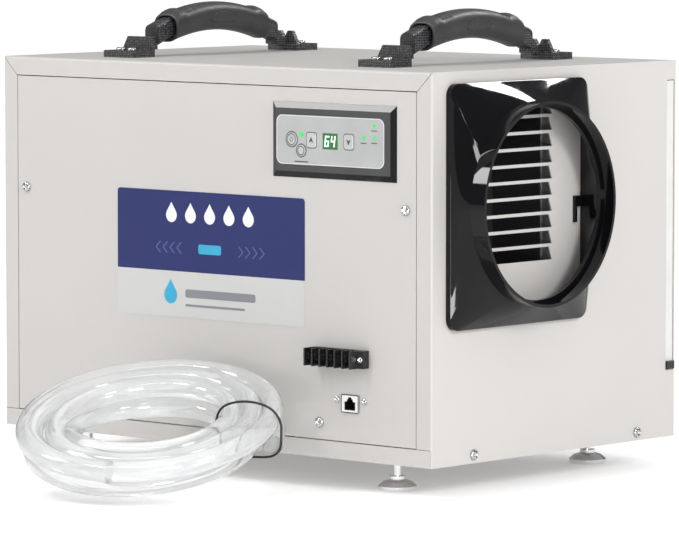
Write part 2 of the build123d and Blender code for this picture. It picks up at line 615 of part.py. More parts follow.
def compressor_shell():
    radius = COMPRESSOR_RADIUS
    top = COMPRESSOR_TOP
    outline = [(0, 24), (radius - 20, 24), (radius - 6, 30), (radius, 40), (radius, top - 27), (radius - 8, top - 13),
               (radius - 24, top - 4), (12, top), (0, top)]
    return Pos(*COMPRESSOR) * revolve(Plane.XZ * make_face(Polyline(*outline, close=True)), Axis.Z)


def mount_places():
    return [(COMPRESSOR[0] + 62 * cos(radians(a)), COMPRESSOR[1] + 62 * sin(radians(a))) for a in (30, 150, 270)]


def compressor():
    """Hermetic shell on a three-cornered foot plate, with its terminal cover."""
    plate = make_face(Polyline(*mount_places(), close=True))
    base = prism_z(offset(plate, 12), 20, 24)
    for x, y in mount_places():
        base -= rod_z(5, 19, 25, x, y)
    cover = block(COMPRESSOR[0] - 18, COMPRESSOR[0] + 18, COMPRESSOR[1] - 60, COMPRESSOR[1] - 38, 120, 160)
    return compressor_shell() + base + cover


def compressor_mounts():
    ring = rod_z(12, SHEET, 20, 0, 0) - rod_z(4, 0, 30, 0, 0)
    return group(Pos(x, y) * ring for x, y in mount_places())


def compressor_studs():
    stud = rod_z(4, SHEET, 32, 0, 0) + prism_z(RegularPolygon(8, 6), 24, 29)
    return group(Pos(x, y) * stud for x, y in mount_places())


def accumulator():
    """Suction bottle strapped to the compressor, with its elbow into the shell."""
    y = COMPRESSOR[1]
    bottle = fillet(rod_z(16, 62, 165, ACCUMULATOR_X, y).edges(), 7)
    bottle += rod_z(5, 160, 172, ACCUMULATOR_X, y)
    bottle += tube([(ACCUMULATOR_X, y, 66), (ACCUMULATOR_X, y, 46), (COMPRESSOR[0] + 40, y, 46)], 4.5, 9)
    bottle += block(COMPRESSOR[0] + 42, ACCUMULATOR_X, y - 6, y + 6, 110, 122)
    return bottle - compressor_shell()


def coil_end(y, row):
    return (COIL_X0 - 6, y, ROW_Z + row * ROW_PITCH)


CONDENSER_Y, EVAPORATOR_Y = 104.0, 130.0
PIPE_X = -205.0


def discharge_line():
    end = coil_end(CONDENSER_Y, ROWS - 1)
    return tube([(*COMPRESSOR, COMPRESSOR_TOP), (*COMPRESSOR, end[2]), (COMPRESSOR[0], 10, end[2]), (PIPE_X, 10, end[2]),
                 (PIPE_X, CONDENSER_Y, end[2]), end], 4, 16)


def suction_line():
    end = coil_end(EVAPORATOR_Y, 0)
    y = COMPRESSOR[1]
    return tube([end, (PIPE_X, EVAPORATOR_Y, end[2]), (PIPE_X, 10, end[2]), (ACCUMULATOR_X, 10, end[2]),
                 (ACCUMULATOR_X, 10, 200), (ACCUMULATOR_X, y, 200), (ACCUMULATOR_X, y, 172)], 4, 14)


DRIER = (-203.0, CONDENSER_Y)


def filter_drier():
    body = rod_z(9, 175, 235, *DRIER)
    return fillet(body.edges(), 4)


def liquid_line():
    start = coil_end(CONDENSER_Y, 0)
    return tube([start, (DRIER[0] + 4, CONDENSER_Y, start[2]), (DRIER[0] + 4, CONDENSER_Y, 175)], 2.5, 8)


def capillary_tube():
    end = coil_end(EVAPORATOR_Y, ROWS - 1)
    return tube([(*DRIER, 235), (*DRIER, 262), (DRIER[0], EVAPORATOR_Y, 262), (DRIER[0], EVAPORATOR_Y, end[2]),
                 end], 1.5, 8)


# ---- water path ----
def drain_pan():
    x0, x1, y0, y1 = -195.0, 235.0, 84.0, 144.0
    pan = block(x0, x1, y0, y1, SHEET, COIL_Z0)
    pan -= block(x0 + 4, x1 - 4, y0 + 4, y1 - 4, 23, COIL_Z0 - 3)
    pan -= block(COIL_X0 + 5, COIL_X1 - 5, y0 + 8, y1 - 8, 23, COIL_Z0 + 1)
    pan -= block(x0 + 5, x1 - 5, y0 + 4, y1 - 4, -1, 19)
    return pan - rod_y(SPIGOT_RADIUS - 2.2, y1 - 5, y1 + 1, SPIGOT_X, SPIGOT_Z)


def drain_spigot():
    """Outlet through the back panel: a flange on the sheet and a plain spigot for the hose."""
    solid = rod_y(SPIGOT_RADIUS, 144, HY + FRONT_REACH, SPIGOT_X, SPIGOT_Z)
    solid += rod_y(13, HY, HY + 2, SPIGOT_X, SPIGOT_Z)
    return solid - rod_y(SPIGOT_RADIUS - 2.2, 143, HY + FRONT_REACH + 1, SPIGOT_X, SPIGOT_Z)


# ---- electrics ----
def power_gland():
    """Cable gland of the mains inlet, left empty."""
    solid = rod_y(GLAND_RADIUS, INNER_Y - 6, HY + 11, GLAND_X, GLAND_Z)
    solid += prism_y(Pos(GLAND_X, GLAND_Z) * RegularPolygon(12.5, 6), HY, HY + 4)
    return solid - rod_y(4.2, INNER_Y - 7, HY + 12, GLAND_X, GLAND_Z)


def run_capacitor():
    can = fillet(rod_z(20, SHEET, 82, 20, -105).edges().group_by(Axis.Z)[-1], 3)
    return can + [block(20 + x, 21 + x, -108, -102, 80, 92) for x in (-8, 8)]


# ---- drain hose, coiled and leaning on the front panel ----
HOSE_DIAMETER = 17.0
COIL_OUTER, COIL_INNER, COIL_THICK = 111.0, 58.0, 36.0
LEAN, SWING = 18.0, 25.0                # tilt from level, and the way it faces, from -Y towards +X
COIL_PLACE_X = 38.0


def hose_frame():
    """The coil's own plane: its middle, with z along its axis. The rim clears the panel and the floor."""
    tilt, swing = radians(LEAN), radians(SWING)
    normal = Vector(sin(tilt) * sin(swing), -sin(tilt) * cos(swing), cos(tilt))
    across = COIL_OUTER * (1 - normal.Y ** 2) ** 0.5 + COIL_THICK / 2 * abs(normal.Y)
    down = COIL_OUTER * sin(tilt) + COIL_THICK / 2 * cos(tilt)
    centre = Vector(COIL_PLACE_X, -HY - 1.5 - across, down - FOOT_HEIGHT)
    return Plane(centre, x_dir=(cos(swing), sin(swing), 0), z_dir=normal)


def hose_coil():
    ring = rect(COIL_INNER, COIL_OUTER, -COIL_THICK / 2, COIL_THICK / 2)
    ring = fillet(ring.vertices(), 12)
    return hose_frame() * revolve(Plane.XZ * ring, Axis.Z)


def hose_tie():
    """A strap round the whole bundle at the coil's right-hand side."""
    middle = (COIL_INNER + COIL_OUTER) / 2
    wide, high = COIL_OUTER - COIL_INNER + 3, COIL_THICK + 3
    band = fillet(rect(middle - wide / 2, middle + wide / 2, -high / 2, high / 2).vertices(), 12)
    strap = extrude(Plane.XZ * band, 3, both=True)
    return hose_frame() * strap - hose_coil()


def main():
    os.makedirs("parts", exist_ok=True)
    right = side_panel()
    save("base_pan", base_pan())
    save("weld_nuts", weld_nuts())
    save("left_panel", mirror(right, Plane.YZ))
    save("right_panel", right_panel())
    save("top_cover", top_cover())
    save("front_panel", front_panel())
    save("back_panel", back_panel())
    save("panel_screws", panel_screws())
    for side_y, depth in ((-FOOT_Y, "front"), (FOOT_Y, "back")):
        for side_x, hand in ((-FOOT_X, "left"), (FOOT_X, "right")):
            save(f"foot_{depth}_{hand}", Pos(side_x, side_y) * foot())
    for x, hand in ((-HANDLE_X, "left"), (HANDLE_X, "right")):
        save(f"{hand}_handle_core", handle_core(x))
        save(f"{hand}_handle_grip", handle_grip(x))
    save("handle_brackets", handle_brackets())
    save("handle_screws", handle_screws())
    save("duct_hood", duct_hood())
    save("duct_collar", duct_collar())
    save("control_bezel", control_bezel())
    save("keypad_overlay", keypad_overlay())
    for name in (*ROUND_BUTTONS, *SQUARE_BUTTONS):
        save(name, button(name))
    save("display", display())
    save("indicator_lights", indicator_lights())
    save("control_board", control_board())
    save("front_label", front_label())
    save("terminal_block", terminal_block())
    save("network_socket", network_socket())
    save("connection_screws", connection_screws())
    save("filter_frame", filter_frame())
    save("filter_media", filter_media())
    save("filter_tab", filter_tab())
    save("filter_rails", filter_rails())
    save("bulkhead", bulkhead())
    save("blower_housing", blower_housing())
    save("blower_wheel", blower_wheel())
    save("motor_shaft", motor_shaft())
    save("fan_motor", fan_motor())
    save("outlet_plenum", outlet_plenum())
    save("condenser", finned_coil(CONDENSER_Y))
    save("evaporator", finned_coil(EVAPORATOR_Y))
    save("compressor", compressor())
    save("compressor_mounts", compressor_mounts())
    save("compressor_studs", compressor_studs())
    save("accumulator", accumulator())
    save("discharge_line", discharge_line())
    save("suction_line", suction_line())
    save("filter_drier", filter_drier())
    save("liquid_line", liquid_line())
    save("capillary_tube", capillary_tube())
    save("drain_pan", drain_pan())
    save("drain_spigot", drain_spigot())
    save("power_gland", power_gland())
    save("run_capacitor", run_capacitor())
    save("hose_coil", hose_coil())
    save("hose_tie", hose_tie())


main()
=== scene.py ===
"""Looks of a ducted crawl-space dehumidifier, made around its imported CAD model."""
import json
from math import ceil, copysign, cos, pi, radians, sin

import bmesh
import bpy
from mathutils import Matrix, Vector


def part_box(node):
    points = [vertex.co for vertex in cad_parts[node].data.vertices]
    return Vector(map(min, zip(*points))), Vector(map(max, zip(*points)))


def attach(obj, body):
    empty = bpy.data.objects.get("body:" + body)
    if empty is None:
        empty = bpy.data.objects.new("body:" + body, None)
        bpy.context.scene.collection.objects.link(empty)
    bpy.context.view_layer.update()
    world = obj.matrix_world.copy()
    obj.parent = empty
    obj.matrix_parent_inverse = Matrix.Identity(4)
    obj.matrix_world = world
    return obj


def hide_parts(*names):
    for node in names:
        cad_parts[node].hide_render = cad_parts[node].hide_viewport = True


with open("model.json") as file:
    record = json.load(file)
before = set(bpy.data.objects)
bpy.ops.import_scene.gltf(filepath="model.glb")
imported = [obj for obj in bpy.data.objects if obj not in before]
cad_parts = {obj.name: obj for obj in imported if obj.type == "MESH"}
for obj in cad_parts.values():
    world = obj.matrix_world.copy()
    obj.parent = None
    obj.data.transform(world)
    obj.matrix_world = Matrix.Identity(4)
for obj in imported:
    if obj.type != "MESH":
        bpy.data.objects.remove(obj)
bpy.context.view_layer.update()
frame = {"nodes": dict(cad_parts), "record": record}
scene = bpy.context.scene
MM = 0.001


# ---- camera: a long lens that looks at the cabinet from the front right ----
CAMERA_PLACE = Vector((2.89535, -3.26864, 0.52985))
CAMERA_AZIMUTH, CAMERA_ELEVATION = radians(41.679), radians(4.757)
CAMERA_LENS = 271.1


def make_camera():
    level = cos(CAMERA_ELEVATION)
    back = Vector((sin(CAMERA_AZIMUTH) * level, -cos(CAMERA_AZIMUTH) * level, sin(CAMERA_ELEVATION)))
    data = bpy.data.cameras.new("camera")
    data.lens = CAMERA_LENS
    data.clip_end = 100
    camera = bpy.data.objects.new("camera", data)
    camera.location = CAMERA_PLACE
    camera.rotation_mode = "QUATERNION"
    camera.rotation_quaternion = (-back).to_track_quat("-Z", "Y")
    scene.collection.objects.link(camera)
    scene.camera = camera


# ---- material helpers ----
# the colour mix node's own sockets, which share their names with those of its other kinds
MIX_FIRST, MIX_SECOND, MIX_RESULT = 6, 7, 2
# noise seldom leaves this range
NOISE_LOW, NOISE_HIGH = 0.3, 0.7
UNSTRETCHED = (1, 1, 1)


def new_material(name, color, roughness, metallic=0.0, **settings):
    """A principled material; settings are the shader's own sockets, with _ for each blank."""
    made = bpy.data.materials.new(name)
    made.use_nodes = True
    shader = shader_of(made)
    shader.inputs["Base Color"].default_value = (*color, 1)
    shader.inputs["Roughness"].default_value = roughness
    shader.inputs["Metallic"].default_value = metallic
    for key, value in settings.items():
        shader.inputs[key.replace("_", " ")].default_value = value
    return made


def shader_of(made):
    return made.node_tree.nodes["Principled BSDF"]


def node(made, kind, **values):
    """A new node of that kind; values are its sockets, or its own properties where it has no such socket."""
    new = made.node_tree.nodes.new(kind)
    for key, value in values.items():
        if key.replace("_", " ") in new.inputs:
            new.inputs[key.replace("_", " ")].default_value = value
        else:
            setattr(new, key, value)
    return new


def link(made, start, end):
    made.node_tree.links.new(start, end)


def object_noise(made, scale, detail, stretch):
    """Noise over the object's own coordinates, scale in features per metre."""
    place = node(made, "ShaderNodeTexCoord")
    mapping = node(made, "ShaderNodeMapping", Scale=stretch)
    noise = node(made, "ShaderNodeTexNoise", Scale=scale, Detail=detail)
    link(made, place.outputs["Object"], mapping.inputs["Vector"])
    link(made, mapping.outputs["Vector"], noise.inputs["Vector"])
    return noise.outputs["Fac"]


def remap_noise(made, value, low, high):
    mapped = node(made, "ShaderNodeMapRange", From_Min=NOISE_LOW, From_Max=NOISE_HIGH,
                  To_Min=low, To_Max=high)
    link(made, value, mapped.inputs["Value"])
    return mapped.outputs["Result"]


def mix_color(made, factor, first, second):
    """Base colour that goes from first to second as the factor goes from 0 to 1."""
    mix = node(made, "ShaderNodeMix", data_type="RGBA")
    mix.inputs[MIX_FIRST].default_value = (*first, 1)
    mix.inputs[MIX_SECOND].default_value = (*second, 1)
    link(made, factor, mix.inputs["Factor"])
    link(made, mix.outputs[MIX_RESULT], shader_of(made).inputs["Base Color"])
    return mix.outputs[MIX_RESULT]


def split_color(made, axis, border, below, above):
    """One base colour up to the border along the object's own axis, and another past it."""
    place = node(made, "ShaderNodeTexCoord")
    axes = node(made, "ShaderNodeSeparateXYZ")
    past = node(made, "ShaderNodeMath", operation="GREATER_THAN")
    past.inputs[1].default_value = border
    link(made, place.outputs["Object"], axes.inputs["Vector"])
    link(made, axes.outputs[axis], past.inputs[0])
    mix_color(made, past.outputs["Value"], below, above)


def color_ramp(made, value, *stops):
    """A ramp over two stops, each a place and a colour."""
    ramp = node(made, "ShaderNodeValToRGB")
    for element, (place, color) in zip(ramp.color_ramp.elements, stops):
        element.position = place
        element.color = (*color, 1)
    link(made, value, ramp.inputs["Fac"])
    return ramp.outputs["Color"]


def vary_color(made, scale, first, second):
    noise = object_noise(made, scale, detail=2, stretch=UNSTRETCHED)
    return mix_color(made, remap_noise(made, noise, 0, 1), first, second)


def vary_roughness(made, scale, low, high):
    noise = object_noise(made, scale, detail=3, stretch=UNSTRETCHED)
    link(made, remap_noise(made, noise, low, high), shader_of(made).inputs["Roughness"])


def add_bump(made, height, distance, strength=1.0):
    bump = node(made, "ShaderNodeBump", Strength=strength, Distance=distance)
    link(made, height, bump.inputs["Height"])
    link(made, bump.outputs["Normal"], shader_of(made).inputs["Normal"])


def grain_bump(made, scale, distance, strength, stretch=UNSTRETCHED):
    add_bump(made, object_noise(made, scale, detail=4, stretch=stretch), distance, strength)


def shade(color, share):
    return tuple(share * part for part in color)


# ---- materials: each function takes the slot's name and that slot's settings ----
def cabinet_paint(name):
    made = new_material(name, (0.535, 0.52, 0.505), 0.42, Specular_IOR_Level=0.4)
    vary_color(made, 5, (0.528, 0.512, 0.496), (0.546, 0.529, 0.512))
    vary_roughness(made, 60, low=0.38, high=0.5)
    grain_bump(made, 1600, distance=0.00003, strength=0.5)
    return made


def metal(name, color, roughness, scale=900, spread=0.08):
    made = new_material(name, color, roughness, metallic=1.0)
    vary_color(made, 40, color, shade(color, 0.88))
    vary_roughness(made, scale, roughness - spread, roughness + spread)
    grain_bump(made, scale, distance=0.00002, strength=0.4)
    return made


def moulded(name, color, roughness, scale=1200, depth=0.00003):
    made = new_material(name, color, roughness)
    vary_color(made, 30, color, shade(color, 0.9))
    vary_roughness(made, 150, roughness - 0.05, roughness + 0.05)
    grain_bump(made, scale, depth, strength=0.6)
    return made


def printed(name, color, roughness=0.35):
    """Smooth film or ink."""
    return moulded(name, color, roughness, scale=900, depth=0.00001)


def gloss(name):
    """Polished black plastic, a little wavy."""
    black = (0.004, 0.004, 0.005)
    made = new_material(name, black, 0.05, Specular_IOR_Level=0.22)
    vary_color(made, 20, black, shade(black, 1.25))
    vary_roughness(made, 90, low=0.03, high=0.07)
    grain_bump(made, 90, distance=0.00004, strength=0.2)
    return made


def dotted(name, color, roughness, depth):
    """Black part with fine moulded dots, with a painted highlight that makes each dot paler towards its
    middle.
    """
    pitch = 2.1 * MM
    made = new_material(name, color, roughness)
    place = node(made, "ShaderNodeTexCoord")
    cells = node(made, "ShaderNodeTexVoronoi", Scale=1 / pitch, Randomness=0.2)
    link(made, place.outputs["Object"], cells.inputs["Vector"])
    # painted highlight: up to ten times paler towards each dot's middle, where light would catch it
    painted_dot_highlight = color_ramp(made, cells.outputs["Distance"], (0.25, shade(color, 10)), (0.5, color))
    link(made, painted_dot_highlight, shader_of(made).inputs["Base Color"])
    add_bump(made, cells.outputs["Distance"], depth)
    vary_roughness(made, 200, roughness - 0.06, roughness + 0.06)
    return made


def soft_grip(name):
    made = new_material(name, (0.026, 0.026, 0.028), 0.45, Sheen_Weight=0.05, Sheen_Roughness=0.5)
    vary_color(made, 50, (0.023, 0.023, 0.025), (0.031, 0.031, 0.033))
    vary_roughness(made, 260, low=0.38, high=0.52)
    grain_bump(made, 2600, distance=0.00004, strength=0.5)
    return made


def lit_plastic(name, color, strength):
    """Lens or digit that glows a little, darker in its grain."""
    made = new_material(name, color, 0.2, Emission_Color=(*color, 1), Emission_Strength=strength)
    mixed = vary_color(made, 900, color, shade(color, 0.6))
    link(made, mixed, shader_of(made).inputs["Emission Color"])
    return made


def cloth(name):
    """White filter cloth with a fibre grain."""
    made = new_material(name, (0.8, 0.83, 0.84), 0.9, Sheen_Weight=0.3)
    vary_color(made, 500, (0.72, 0.75, 0.77), (0.86, 0.88, 0.89))
    grain_bump(made, 1800, distance=0.0002, strength=0.8, stretch=(1, 1, 3))
    return made


def clear_vinyl(name):
    """Clear soft tube: see-through, a little milky, with painted shade that greys its outline."""
    made = new_material(name, (0.94, 0.945, 0.945), 0.05, IOR=1.18, Transmission_Weight=0.8,
                        Coat_Weight=0.6, Coat_Roughness=0.05, Coat_IOR=1.6)
    milky = vary_color(made, 25, (0.93, 0.94, 0.94), (0.97, 0.975, 0.975))
    # painted shade: the base colour darkens towards grazing angles, standing in for the tube's darker outline
    facing = node(made, "ShaderNodeLayerWeight", Blend=0.35)
    outline = color_ramp(made, facing.outputs["Facing"], (0.5, (1, 1, 1)), (0.95, (0.2, 0.205, 0.21)))
    painted_edge_shade = node(made, "ShaderNodeMix", data_type="RGBA", blend_type="MULTIPLY")
    painted_edge_shade.inputs["Factor"].default_value = 1
    link(made, milky, painted_edge_shade.inputs[MIX_FIRST])
    link(made, outline, painted_edge_shade.inputs[MIX_SECOND])
    link(made, painted_edge_shade.outputs[MIX_RESULT], shader_of(made).inputs["Base Color"])
    vary_roughness(made, 40, low=0.04, high=0.08)
    grain_bump(made, 60, distance=0.0002, strength=0.2)
    return made


def label_film(name):
    """Printed film: a deep blue field above a pale one, parted at a share of its height."""
    low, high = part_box("front_label")
    pale_share = 0.363
    made = new_material(name, (0.01, 0.02, 0.11), 0.3, Specular_IOR_Level=0.2)
    split_color(made, "Z", low.z + pale_share * (high.z - low.z),
                below=(0.56, 0.556, 0.552), above=(0.022, 0.030, 0.130))
    vary_roughness(made, 30, low=0.32, high=0.36)
    grain_bump(made, 400, distance=0.00001, strength=0.1)
    return made


def socket_frame(name):
    """White plastic, black from just behind its face."""
    white = (0.8, 0.8, 0.79)
    skin = 0.4 * MM
    made = new_material(name, white, 0.35)
    split_color(made, "Y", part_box("network_socket")[0].y + skin, below=white, above=(0.012, 0.012, 0.012))
    vary_roughness(made, 150, low=0.3, high=0.4)
    grain_bump(made, 1200, distance=0.00003, strength=0.6)
    return made


# record slot: its function, then what that function takes after the name
SLOTS = {
    "cabinet_paint": (cabinet_paint,),
    "zinc_screw": (metal, (0.5, 0.5, 0.5), 0.24),
    "bracket_black": (dotted, (0.014, 0.014, 0.015), 0.38, 0.3 * MM),
    "core_black": (dotted, (0.010, 0.010, 0.011), 0.32, 0.4 * MM),
    "grip_rubber": (soft_grip,),
    "hood_black": (gloss,),
    "bezel_black": (gloss,),
    "overlay_grey": (printed, (0.44, 0.443, 0.447)),
    "button_grey": (printed, (0.50, 0.503, 0.507), 0.3),
    "display_dark": (lit_plastic, (0.035, 0.15, 0.05), 0.35),
    "light_green": (lit_plastic, (0.10, 0.62, 0.18), 0.35),
    "board_green": (moulded, (0.02, 0.16, 0.06), 0.4),
    "label_print": (label_film,),
    "terminal_black": (moulded, (0.009, 0.009, 0.010), 0.26),
    "socket_white": (socket_frame,),
    "galvanised": (metal, (0.55, 0.56, 0.57), 0.42, 300),
    "foot_chrome": (metal, (0.74, 0.74, 0.75), 0.1, 500, 0.03),
    "filter_frame_grey": (moulded, (0.66, 0.66, 0.65), 0.45),
    "filter_cloth": (cloth,),
    "tab_black": (moulded, (0.008, 0.008, 0.008), 0.35),
    "fan_plastic": (moulded, (0.022, 0.022, 0.024), 0.45),
    "motor_steel": (metal, (0.42, 0.43, 0.45), 0.4),
    "coil_metal": (metal, (0.78, 0.79, 0.8), 0.35),
    "copper": (metal, (0.72, 0.38, 0.24), 0.28),
    "compressor_black": (moulded, (0.022, 0.022, 0.024), 0.35),
    "mount_rubber": (moulded, (0.03, 0.03, 0.03), 0.7),
    "pan_plastic": (moulded, (0.75, 0.75, 0.73), 0.45),
    "spigot_black": (moulded, (0.025, 0.025, 0.026), 0.4),
    "hose_clear": (clear_vinyl,),
    "tie_black": (moulded, (0.004, 0.004, 0.004), 0.5),
}
materials = {slot: make(slot, *settings) for slot, (make, *settings) in SLOTS.items()}


def dress_cad_nodes():
    for row in frame["record"]["subparts"]:
        mesh = frame["nodes"][row["node"]].data
        mesh.materials.clear()
        mesh.materials.append(materials[row["material_slot"]])


# ---- piece helpers ----
def add_piece(name, slot, body, data, material=None):
    """Stands the mesh or curve in the scene as a piece of that slot, riding that body."""
    data.materials.append(material or materials[slot])
    piece = bpy.data.objects.new(name, data)
    scene.collection.objects.link(piece)
    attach(piece, body)
    return piece


def mesh_of(name, bm):
    """A mesh of what bm holds, its faces turned outwards; bm is freed."""
    bmesh.ops.recalc_face_normals(bm, faces=bm.faces)
    data = bpy.data.meshes.new(name)
    bm.to_mesh(data)
    bm.free()
    return data


def plate(name, slot, body, outlines, face_y, thickness, material=None):
    """Flat printed or raised marks on the front: outlines are loops of (x, z) in metres, facing -Y."""
    bm = bmesh.new()
    for outline in outlines:
        back = [bm.verts.new((x, face_y, z)) for x, z in outline]
        front = [bm.verts.new((x, face_y - thickness, z)) for x, z in outline]
        bm.faces.new(front)
        bm.faces.new(back[::-1])
        for i in range(len(outline)):
            j = (i + 1) % len(outline)
            bm.faces.new((back[i], back[j], front[j], front[i]))
    return add_piece(name, slot, body, mesh_of(name, bm), material)


def strip_between(outer, inner, closed=True):
    """The quads between two lines of the same count."""
    count = len(outer)
    return [[outer[i], outer[(i + 1) % count], inner[(i + 1) % count], inner[i]]
            for i in range(count if closed else count - 1)]


def circle(x, z, radius, count=32):
    turns = [2 * pi * i / count for i in range(count)]
    return [(x + radius * cos(turn), z + radius * sin(turn)) for turn in turns]


def bar(x0, x1, z0, z1):
    return [(x0, z0), (x1, z0), (x1, z1), (x0, z1)]


def rounded(x0, x1, z0, z1, radius, steps=6):
    corners = [(x1 - radius, z1 - radius, 0), (x0 + radius, z1 - radius, 90),
               (x0 + radius, z0 + radius, 180), (x1 - radius, z0 + radius, 270)]
    turns = [90 * i / steps for i in range(steps + 1)]
    return [(x + radius * cos(radians(start + turn)), z + radius * sin(radians(start + turn)))
            for x, z, start in corners for turn in turns]


def rounded_box(low, high, grow, radius):
    """A rounded outline round a box's front, larger than it by grow on every side."""
    return rounded(low.x - grow, high.x + grow, low.z - grow, high.z + grow, radius)


def smooth_step(value):
    value = min(1.0, max(0.0, value))
    return value * value * (3 - 2 * value)


def blend(value, start, run):
    """Goes smoothly from 0 to 1 as the value goes from start to start + run."""
    return smooth_step((value - start) / run)


# ---- drain hose ----
HOSE_RADIUS, HOSE_LENGTH = 8.5 * MM, 3.05
HOSE_LEAN, HOSE_SWING = radians(18), radians(25)
HOSE_TURNS = 5.72
POINTS_PER_TURN = 16
# share of a turn over which the hose crosses to its next place in the bundle
CROSSING = 0.56
# (radius, height) of each turn in mm: at the tie, and on the far side, where the turns fan out
TIED = [(102.3, -9.2), (84.5, -9.2), (66.7, -9.2), (67.5, 9.2), (85.0, 9.2), (102.3, 9.2)]
FANNED = [(109.0, -10.0), (90.0, -10.5), (69.0, -10.0), (62.0, 10.5), (84.0, 9.5), (101.0, 10.5)]
# (radius, height) of the tie's loop round the bundle in mm, slack above it
TIE_LOOP = [(56.5, 0), (57, 12), (64, 24), (84.5, 29), (104, 24), (112.5, 12), (112.5, 0), (111.5, -12),
            (104, -19), (84.5, -19.2), (65, -19), (57, -12)]
TIE_RADIUS, TIE_SWAY, TIE_SWAY_HEIGHT = 1.0 * MM, 3.0 * MM, 12


def hose_matrix():
    """Turns and moves the coil from its own flat frame to where it leans."""
    low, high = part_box("hose_coil")
    across = Vector((cos(HOSE_SWING), sin(HOSE_SWING), 0))
    normal = Vector((sin(HOSE_LEAN) * sin(HOSE_SWING), -sin(HOSE_LEAN) * cos(HOSE_SWING), cos(HOSE_LEAN)))
    away = normal.cross(across)
    turn = Matrix((across, away, normal)).transposed().to_4x4()
    return Matrix.Translation((low + high) / 2) @ turn


def bundle_place(turn):
    """Radius and height of the hose's middle, turn counted from the start of the first turn."""
    index = int(turn)
    part = turn - index
    fan = sin(pi * part) ** 2
    cross = blend(part, 0.5 - CROSSING / 2, CROSSING)
    place = []
    for axis in (0, 1):
        here, there = (TIED[k][axis] + fan * (FANNED[k][axis] - TIED[k][axis])
                       for k in (index, min(index + 1, len(TIED) - 1)))
        place.append((here + cross * (there - here)) * MM)
    return place


def hose_points():
    """The spline's control points, a little outside the turns so that the curve itself lies on them."""
    outside = 1 / cos(pi / POINTS_PER_TURN)
    matrix = hose_matrix()
    points = []
    for i in range(ceil(HOSE_TURNS * POINTS_PER_TURN) + 1):
        turn = i / POINTS_PER_TURN
        radius, height = bundle_place(turn)
        angle = 2 * pi * turn
        points.append(matrix @ Vector((radius * outside * cos(angle), radius * outside * sin(angle), height)))
    return points


def spline_piece(name, slot, points, radius, cyclic=False, resolution=8):
    data = bpy.data.curves.new(name, "CURVE")
    data.dimensions = "3D"
    spline = data.splines.new("NURBS")
    spline.points.add(len(points) - 1)
    for place, point in zip(spline.points, points):
        place.co = (*point, 1)
    spline.order_u = 3
    spline.use_endpoint_u = not cyclic
    spline.use_cyclic_u = cyclic
    spline.resolution_u = 6
    data.bevel_depth = radius
    data.bevel_resolution = resolution
    data.use_fill_caps = True
    return add_piece(name, slot, "drain_hose", data)


def make_tie():
    """Thin black wire round the bundle."""
    matrix = hose_matrix()
    points = [matrix @ Vector((x * MM, TIE_SWAY * sin(z / TIE_SWAY_HEIGHT), z * MM)) for x, z in TIE_LOOP]
    tie = spline_piece("hose_tie_wire", "tie_black", points, TIE_RADIUS, cyclic=True, resolution=4)
    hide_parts("hose_tie")
    return tie


def make_hose():
    points = hose_points()
    hose = spline_piece("drain_hose_tube", "hose_clear", points, HOSE_RADIUS)
    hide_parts("hose_coil")
    tie = make_tie()


# ---- handle grips, in mm, with y measured from the grip's middle ----
GRIP_LOW, GRIP_HIGH = (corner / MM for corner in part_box("left_handle_grip"))
GRIP_STATIONS, GRIP_AROUND = 237, 120
# half width, how much narrower it is in the middle, and how much wider again at its tips
GRIP_HALF_WIDTH, GRIP_WAIST, GRIP_FLARE = 14.3, 1.0, 0.2
# how far the middle of the underside and of the top stands above the ends
UNDER_ARCH, TOP_ARCH = 9.3, 10.5
# swell on the top near each end, and the share of it that falls away at the tip
SWELL_HEIGHT, SWELL_FALL = 2.6, 0.55
# where each of these starts and over how much it grows, as shares of the way from the middle to the tip
FLARE_START, FLARE_RUN = 0.8, 0.2
SWELL_START, SWELL_RUN = 0.72, 0.12
FALL_START, FALL_RUN = 0.9, 0.1
# power of the cross-section's outline: 1 is an oval, 0 a rectangle
SECTION_POWER = 0.78
# four cross grooves in the top near each end
RIB_Y = [32.5, 35.9, 39.3, 42.7]
RIB_DEPTH, RIB_HALF_WIDTH, RIB_WALL, RIB_HALF_LENGTH, RIB_END = 2.4, 1.11, 0.6, 10.5, 1.0
# oval groove in the middle of each side
OVAL_HALF_LENGTH, OVAL_HALF_HEIGHT, OVAL_DROP = 17, 5.2, 1
OVAL_DEPTH, OVAL_WIDTH = 0.9, 0.14
# how far the skin has to face outwards for that groove to start, and over how much more it deepens
SIDE_START, SIDE_RUN = 0.5, 0.2
# the sleeve's mouth, from its inside to its outside: (distance from the tip, depth below the skin)
MOUTH = [(13, 3.2), (2, 2.8), (0.3, 2.1), (0, 1.4), (0.1, 0.7)]


def grip_section(y):
    """Half width, underside and top of the grip at y."""
    share = min(1.0, abs(y) / GRIP_HIGH.y)
    under = GRIP_LOW.z + UNDER_ARCH * (1 - share ** 2)
    left_over = 1 - SWELL_FALL * blend(share, FALL_START, FALL_RUN)
    swell = SWELL_HEIGHT * blend(share, SWELL_START, SWELL_RUN) * left_over
    top = GRIP_HIGH.z - TOP_ARCH * share ** 2 + swell
    half = GRIP_HALF_WIDTH - GRIP_WAIST * (1 - share) + GRIP_FLARE * blend(share, FLARE_START, FLARE_RUN)
    return half, under, top


def rib_depth(x, y):
    along = smooth_step((RIB_HALF_LENGTH - abs(x)) / RIB_END)
    across = sum(smooth_step((RIB_HALF_WIDTH - abs(abs(y) - rib)) / RIB_WALL) for rib in RIB_Y)
    return RIB_DEPTH * along * across


def oval_depth(y, height, outward):
    """Depth of a side's oval groove; outward is 1 on the side and 0 on the top."""
    oval = (y / OVAL_HALF_LENGTH) ** 2 + ((height + OVAL_DROP) / OVAL_HALF_HEIGHT) ** 2
    return OVAL_DEPTH * smooth_step(1 - abs(oval - 1) / OVAL_WIDTH) * blend(outward, SIDE_START, SIDE_RUN)


